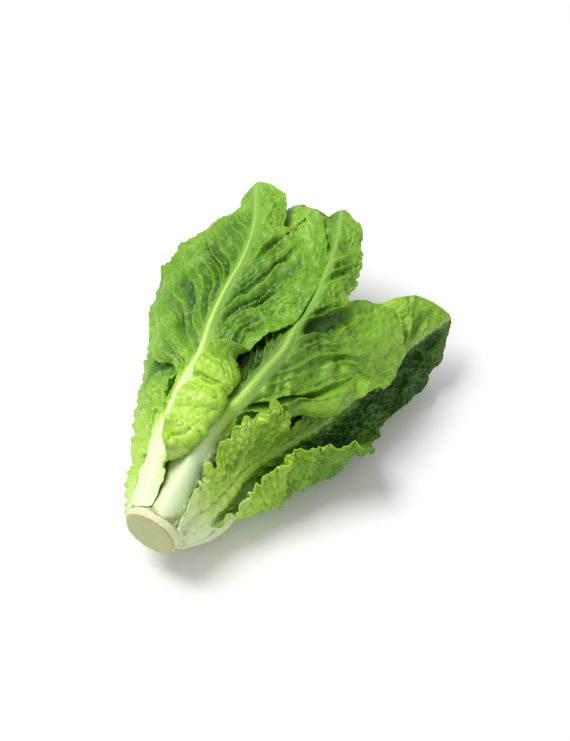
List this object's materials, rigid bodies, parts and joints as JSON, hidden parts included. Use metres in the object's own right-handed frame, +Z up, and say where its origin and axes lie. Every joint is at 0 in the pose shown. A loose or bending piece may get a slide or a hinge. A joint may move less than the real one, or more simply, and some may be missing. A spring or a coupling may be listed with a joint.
{
  "type": "romaine lettuce head",
  "caption": "Trimmed romaine lettuce head lying on its side, with broad loose outer leaves round nested inner leaves on a cut stem.",
  "frame": {"origin": "centre of the bounding box in plan, on the surface that the head lies on", "axes": "+X from the cut stem to the leaf tips, +Y to the left when looking along +X, +Z up"},
  "size_m": [0.2792, 0.207, 0.1177],
  "materials": {
    "stem": "satin",
    "outer_leaf": "satin",
    "second_leaf": "satin",
    "inner_leaf": "satin",
    "heart_leaf": "satin"
  },
  "bodies": {
    "root": {"stem": "stem", "outer_leaf_1": "outer_leaf", "outer_leaf_2": "outer_leaf", "outer_leaf_3": "outer_leaf", "outer_leaf_4": "outer_leaf", "outer_leaf_5": "outer_leaf", "outer_leaf_6": "outer_leaf", "second_leaf_1": "second_leaf", "second_leaf_2": "second_leaf", "second_leaf_3": "second_leaf", "second_leaf_4": "second_leaf", "inner_leaf_1": "inner_leaf", "inner_leaf_2": "inner_leaf", "inner_leaf_3": "inner_leaf", "inner_leaf_4": "inner_leaf", "heart_leaf_1": "heart_leaf", "heart_leaf_2": "heart_leaf", "heart_leaf_3": "heart_leaf"}
  },
  "joints": []
}
